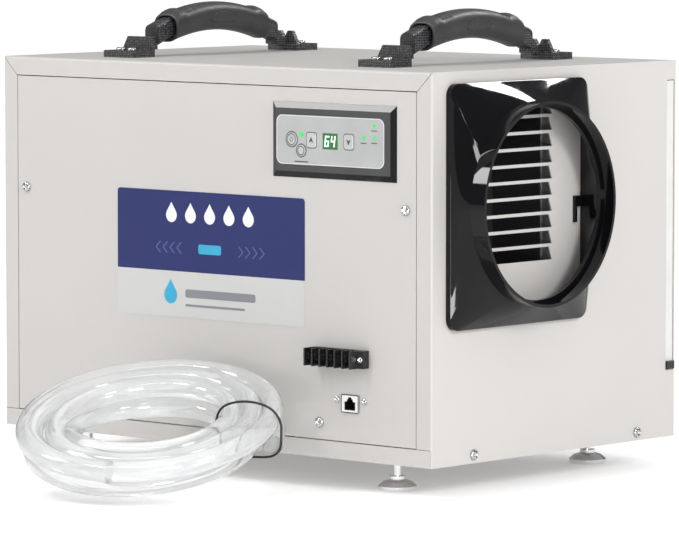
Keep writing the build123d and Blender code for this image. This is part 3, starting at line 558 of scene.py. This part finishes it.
def grip_point(y, angle, depth):
    """Place on the grip's cross-section at y, that far below its skin; only the skin itself is grooved."""
    half, under, top = grip_section(y)
    middle, rise = (under + top) / 2, (top - under) / 2
    outward, upward = cos(angle), sin(angle)
    x = copysign((half - depth) * abs(outward) ** SECTION_POWER, outward)
    z = middle + copysign((rise - depth) * abs(upward) ** SECTION_POWER, upward)
    if depth == 0:
        if upward > 0:
            z -= rib_depth(x, y)
        x -= copysign(oval_depth(y, z - middle, abs(outward)), outward)
    return x, z


def make_grip(hand):
    low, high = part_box(f"{hand}_handle_grip")
    middle_x = (low.x + high.x) / 2
    tip = GRIP_HIGH.y
    first_mouth = [(-tip + inset, depth) for inset, depth in MOUTH]
    skin = [(-tip + 2 * tip * i / (GRIP_STATIONS - 1), 0) for i in range(1, GRIP_STATIONS - 1)]
    last_mouth = [(-y, depth) for y, depth in reversed(first_mouth)]
    bm = bmesh.new()
    rings = []
    for y, depth in first_mouth + skin + last_mouth:
        section = [grip_point(y, 2 * pi * k / GRIP_AROUND, depth) for k in range(GRIP_AROUND)]
        rings.append([bm.verts.new((middle_x + x * MM, y * MM, z * MM)) for x, z in section])
    for first, second in zip(rings, rings[1:]):
        for k in range(GRIP_AROUND):
            following = (k + 1) % GRIP_AROUND
            bm.faces.new((first[k], first[following], second[following], second[k]))
    bm.faces.new(rings[0][::-1])
    bm.faces.new(rings[-1])
    data = mesh_of(f"{hand}_grip_sleeve", bm)
    for face in data.polygons:
        face.use_smooth = True
    piece = add_piece(f"{hand}_grip_sleeve", "grip_rubber", "cabinet", data)
    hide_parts(f"{hand}_handle_grip")


# ---- front label: generic marks only, placed from its middle line and its top or bottom edge ----
LABEL_INK = 0.08 * MM
DROP_SIZE, DROP_DOWN, DROP_PITCH, DROP_PINCH = 6.2 * MM, 20.5 * MM, 22 * MM, 0.75
CHEVRON_SIZE, CHEVRON_DOWN, CHEVRON_START, CHEVRON_PITCH = 4.8 * MM, 48 * MM, 32 * MM, 8 * MM
LOWER_DROP_SIZE, LOWER_DROP_LEFT, LOWER_DROP_UP = 7.5 * MM, 45 * MM, 18.5 * MM


def drop_outline(x, z, size, count=40):
    """A water drop standing on its round end."""
    points = []
    for i in range(count):
        angle = 2 * pi * i / count
        pull = max(0.0, sin(angle)) ** 3
        narrow, tall = 1 - DROP_PINCH * pull, DROP_PINCH * pull
        points.append((x + size * cos(angle) * narrow, z + size * (sin(angle) + tall)))
    return points


def chevron(x, z, size, way):
    thick = 0.35 * size
    return [(x, z + size), (x + way * thick, z + size), (x + way * (size + thick), z),
            (x + way * thick, z - size), (x, z - size), (x + way * size, z)]


def make_label_marks():
    low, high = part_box("front_label")
    centre, top, bottom = (low.x + high.x) / 2, high.z, low.z
    white = printed("label_white", (0.82, 0.82, 0.82))
    cyan = printed("label_cyan", (0.02, 0.38, 0.62))
    faint = printed("label_faint_blue", (0.06, 0.09, 0.30))
    grey = printed("label_grey", (0.22, 0.23, 0.25))
    drops = [drop_outline(centre + k * DROP_PITCH, top - DROP_DOWN, DROP_SIZE) for k in (-2, -1, 0, 1, 2)]
    cyan_bar = rounded(centre - 13 * MM, centre + 13 * MM, top - 52 * MM, top - 44 * MM, 2 * MM)
    steps = [CHEVRON_START + k * CHEVRON_PITCH for k in range(4)]
    chevrons = [chevron(centre + way * step, top - CHEVRON_DOWN, CHEVRON_SIZE, way)
                for way in (-1, 1) for step in steps]
    lower_drop = drop_outline(centre - LOWER_DROP_LEFT, bottom + LOWER_DROP_UP, LOWER_DROP_SIZE)
    bar_left = centre - 28 * MM
    lower_bars = [rounded(bar_left, centre + 52 * MM, bottom + 17 * MM, bottom + 24 * MM, 2 * MM),
                  rounded(bar_left, centre + 40 * MM, bottom + 9.5 * MM, bottom + 11.5 * MM, 0.8 * MM)]
    marks = [("label_drops", drops, white), ("label_cyan_bar", [cyan_bar], cyan),
             ("label_chevrons", chevrons, faint), ("label_lower_drop", [lower_drop], cyan),
             ("label_lower_bars", lower_bars, grey)]
    for name, outlines, ink in marks:
        plate(name, "label_print", "cabinet", outlines, low.y, LABEL_INK, ink)


# ---- control panel marks ----
FILM_INK = 0.06 * MM
FILM_CORNER = 6.0 * MM
# x, z and radius, in metres, of the large light and the three small ones
LIGHTS = [(0.0876, 0.2913, 0.0022), (0.1556, 0.2907, 0.0015),
          (0.1669, 0.3011, 0.0015), (0.1669, 0.2911, 0.0015)]
SEGMENTS = {"6": "acdefg", "4": "bcfg"}
# digits: their place in the display's lower left corner, their step, size and line, and how far they lean
DIGIT_LEFT, DIGIT_UP, DIGIT_PITCH = 1.9 * MM, 2.2 * MM, 6.6 * MM
DIGIT_WIDTH, DIGIT_HEIGHT, DIGIT_LINE, DIGIT_LEAN = 4.6 * MM, 9.0 * MM, 1.2 * MM, 0.12
ARROW_HALF_WIDTH, ARROW_TIP, ARROW_FOOT, ARROW_NOTCH = 2.6 * MM, 2.8 * MM, 2.2 * MM, 0.9 * MM


def front_middle(name):
    """The middle of a node's front, as x and z."""
    low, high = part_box(name)
    return (low.x + high.x) / 2, (low.z + high.z) / 2


def film_mark(name, outlines, ink):
    plate(name, "overlay_grey", "cabinet", outlines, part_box("keypad_overlay")[0].y, FILM_INK, ink)


def key_mark(name, key, outlines, ink):
    """A mark printed on a key, which moves with it."""
    plate(name, "button_grey", key, outlines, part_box(key)[0].y, FILM_INK, ink)


def make_round_key_marks(key, edge):
    x, z = front_middle(key)
    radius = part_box(key)[1].x - x
    around = strip_between(circle(x, z, radius + 0.6 * MM, 40), circle(x, z, radius - 0.1 * MM, 40))
    rim = strip_between(circle(x, z, radius - 1.4 * MM), circle(x, z, radius - 2.1 * MM))
    film_mark(f"{key}_outline", around, edge)
    key_mark(f"{key}_rim", key, rim, edge)


def make_arrow_key_marks(key, way, edge, dark):
    """The outline round an arrow key and the arrow on it; way is 1 for up and -1 for down."""
    low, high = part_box(key)
    x, z = front_middle(key)
    around = strip_between(rounded_box(low, high, 0.1 * MM, 2.4 * MM),
                           rounded_box(low, high, -0.5 * MM, 2.0 * MM))
    film_mark(f"{key}_outline", around, edge)
    foot = z - ARROW_FOOT * way
    arrow = [(x - ARROW_HALF_WIDTH, foot), (x, z + ARROW_TIP * way), (x + ARROW_HALF_WIDTH, foot),
             (x, z - ARROW_NOTCH * way)]
    key_mark(f"{key}_arrow", key, [arrow], dark)


def make_power_symbol(dark):
    """An open ring with a stroke in its gap."""
    x, z = front_middle("power_button")
    outer, inner = ([(x + radius * sin(radians(turn)), z + radius * cos(radians(turn)))
                     for turn in range(35, 326, 15)] for radius in (1.9 * MM, 1.4 * MM))
    stroke = bar(x - 0.25 * MM, x + 0.25 * MM, z + 0.4 * MM, z + 2.3 * MM)
    ring = strip_between(outer, inner, closed=False)
    key_mark("power_button_symbol", "power_button", ring + [stroke], dark)


def digit_outlines(digit, x, z):
    """The lit segments of a seven-segment digit, leaning to the right."""
    width, height, line, half = DIGIT_WIDTH, DIGIT_HEIGHT, DIGIT_LINE, DIGIT_HEIGHT / 2
    boxes = {
        "a": bar(0, width, height - line, height),
        "b": bar(width - line, width, half, height),
        "c": bar(width - line, width, 0, half),
        "d": bar(0, width, 0, line),
        "e": bar(0, line, 0, half),
        "f": bar(0, line, half, height),
        "g": bar(0, width, half - line / 2, half + line / 2),
    }
    return [[(x + u + DIGIT_LEAN * v, z + v) for u, v in boxes[segment]] for segment in SEGMENTS[digit]]


def make_digits():
    low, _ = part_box("display")
    lit = lit_plastic("digit_light", (0.72, 1.0, 0.78), 1.1)
    outlines = []
    for place, digit in enumerate("64"):
        outlines += digit_outlines(digit, low.x + DIGIT_LEFT + DIGIT_PITCH * place, low.z + DIGIT_UP)
    plate("display_digits", "display_dark", "cabinet", outlines, low.y, FILM_INK, lit)


def caption_bar(x, z, half_length, drop, height):
    """A short bar under a light or key, in place of its caption."""
    return bar(x - half_length, x + half_length, z - drop - height, z - drop)


def make_light_marks(dark):
    """A painted green glow round each light, and short bars in place of captions."""
    # painted glow: a pale green ring on the film round each light, standing in for its light
    glow = printed("painted_led_glow", (0.30, 0.58, 0.36))
    for x, z, radius in LIGHTS:
        ring = strip_between(circle(x, z, radius + 1.1 * MM), circle(x, z, radius + 0.1 * MM))
        film_mark(f"light_glow_{round(x * 10000)}_{round(z * 10000)}", ring, glow)
    mode_x, mode_z = front_middle("mode_button")
    captions = [caption_bar(mode_x, mode_z, half_length=7.5 * MM, drop=8.6 * MM, height=1.0 * MM)]
    captions += [caption_bar(x, z, half_length=3.2 * MM, drop=3.7 * MM, height=0.8 * MM)
                 for x, z, _ in LIGHTS[1:]]
    film_mark("keypad_captions", captions, dark)


def make_panel_edges():
    """The bezel's flat face round the film, and a painted highlight along the film's edge."""
    face = printed("frame_grey", (0.045, 0.045, 0.047), 0.4)
    # painted highlight: a pale rim along the film's edge
    painted_edge_highlight = printed("film_edge", (0.72, 0.73, 0.74), 0.3)
    bezel_low, bezel_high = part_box("control_bezel")
    low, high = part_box("keypad_overlay")
    flat = strip_between(rounded_box(bezel_low, bezel_high, -5.0 * MM, 0.3 * MM),
                         rounded_box(low, high, 0.1 * MM, FILM_CORNER))
    plate("bezel_face", "bezel_black", "cabinet", flat, bezel_low.y, FILM_INK, face)
    rim = strip_between(rounded_box(low, high, 0, FILM_CORNER),
                        rounded_box(low, high, -0.7 * MM, FILM_CORNER - 0.5 * MM))
    film_mark("film_edge", rim, painted_edge_highlight)


def make_control_marks():
    dark = printed("print_dark", (0.06, 0.06, 0.065), 0.4)
    edge = printed("print_edge", (0.08, 0.08, 0.085), 0.4)
    for key in ("power_button", "mode_button"):
        make_round_key_marks(key, edge)
    for key, way in (("up_button", 1), ("down_button", -1)):
        make_arrow_key_marks(key, way, edge, dark)
    make_power_symbol(dark)
    make_digits()
    make_light_marks(dark)
    make_panel_edges()


# ---- network jack: left, right, bottom and top of its face, and the line round it ----
JACK_FACE = (129.6 * MM, 148.5 * MM, 65.2 * MM, 80.2 * MM)
JACK_LINE, JACK_LINE_HEIGHT = 0.7 * MM, 0.1 * MM


def make_jack_outline():
    """The dark line round the network jack's face."""
    x0, x1, z0, z1 = JACK_FACE
    face_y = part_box("network_socket")[0].y
    inside = rounded(x0 + JACK_LINE, x1 - JACK_LINE, z0 + JACK_LINE, z1 - JACK_LINE, 0.6 * MM)
    line = strip_between(rounded(x0, x1, z0, z1, 1.2 * MM), inside)
    plate("network_socket_outline", "terminal_black", "cabinet", line, face_y, JACK_LINE_HEIGHT)


# ---- stage ----
FLOOR_HALF = 30
MIDDLE = Vector((0, 0, 0.2))
FRONT_MIDDLE = Vector((0.12, -0.16, 0.3))
HOOD_MIDDLE = Vector((0.24, -0.08, 0.32))
HOOD_FOOT = HOOD_MIDDLE - Vector((0, 0, 0.16))
WHITE = (1, 1, 1, 1)


def make_floor():
    """Pale paper, lit a little from within so that it stays nearly white."""
    corners = [(-FLOOR_HALF, -FLOOR_HALF, 0), (FLOOR_HALF, -FLOOR_HALF, 0),
               (FLOOR_HALF, FLOOR_HALF, 0), (-FLOOR_HALF, FLOOR_HALF, 0)]
    data = bpy.data.meshes.new("floor")
    data.from_pydata(corners, [], [(0, 1, 2, 3)])
    made = new_material("floor_paper", (0.93, 0.93, 0.93), 0.8, Specular_IOR_Level=0.0,
                        Emission_Color=WHITE, Emission_Strength=0.19)
    grain_bump(made, 30, distance=0.0003, strength=0.2)
    data.materials.append(made)
    floor = bpy.data.objects.new("floor", data)
    scene.collection.objects.link(floor)


def softbox(name, place, target, width, height, power, only_reflected=False):
    data = bpy.data.lights.new(name, "AREA")
    data.shape = "RECTANGLE"
    data.size, data.size_y = width, height
    data.energy = power
    lamp = bpy.data.objects.new(name, data)
    lamp.location = place
    lamp.rotation_mode = "QUATERNION"
    lamp.rotation_quaternion = (target - place).to_track_quat("-Z", "Y")
    lamp.visible_camera = False
    lamp.visible_diffuse = not only_reflected
    scene.collection.objects.link(lamp)


def make_world():
    """Even white light; reflections see a dimmer studio with a bright ceiling."""
    world = bpy.data.worlds.new("studio")
    scene.world = world
    world.use_nodes = True
    even = world.node_tree.nodes["Background"]
    even.inputs["Color"].default_value = WHITE
    even.inputs["Strength"].default_value = 0.88
    place = node(world, "ShaderNodeTexCoord")
    axes = node(world, "ShaderNodeSeparateXYZ")
    ceiling = node(world, "ShaderNodeMapRange", interpolation_type="SMOOTHSTEP", From_Min=0.70, From_Max=0.86,
                   To_Min=0.26, To_Max=1.3)
    studio = node(world, "ShaderNodeBackground")
    path = node(world, "ShaderNodeLightPath")
    mirrored = node(world, "ShaderNodeMath", operation="SUBTRACT", use_clamp=True)
    mix = node(world, "ShaderNodeMixShader")
    link(world, place.outputs["Generated"], axes.inputs["Vector"])
    link(world, axes.outputs["Z"], ceiling.inputs["Value"])
    link(world, ceiling.outputs["Result"], studio.inputs["Strength"])
    link(world, path.outputs["Is Glossy Ray"], mirrored.inputs[0])
    link(world, path.outputs["Transmission Depth"], mirrored.inputs[1])
    link(world, mirrored.outputs["Value"], mix.inputs["Fac"])
    link(world, even.outputs["Background"], mix.inputs[1])
    link(world, studio.outputs["Background"], mix.inputs[2])
    link(world, mix.outputs["Shader"], world.node_tree.nodes["World Output"].inputs["Surface"])


def make_lights():
    """Two soft lamps, and four cards that only reflections see."""
    softbox("key", Vector((-0.8, -2.3, 2.6)), MIDDLE, 0.55, 0.55, power=29)
    softbox("side", Vector((3.0, -0.6, 1.6)), MIDDLE, 0.8, 0.8, power=44)
    cards = [
        ("hood_top_card", HOOD_MIDDLE + Vector((0.16, 1.46, 1.36)), HOOD_MIDDLE, 0.36, 0.42, 16),
        ("hood_low_card", HOOD_MIDDLE + Vector((0.66, -0.83, -0.24)), HOOD_FOOT, 0.4, 0.24, 8),
        ("left_card", FRONT_MIDDLE + Vector((-1.32, -1.24, 0.84)), FRONT_MIDDLE, 0.5, 0.5, 18),
        ("strip_card", Vector((0.5, -2.0, 2.4)), MIDDLE, 3.0, 0.22, 26),
    ]
    for name, place, target, width, height, power in cards:
        softbox(name, place, target, width, height, power, only_reflected=True)


make_camera()
make_hose()
dress_cad_nodes()
for side in ("left", "right"):
    make_grip(side)
make_label_marks()
make_control_marks()
make_jack_outline()
make_floor()
make_world()
make_lights()
scene.view_settings.view_transform = "Standard"
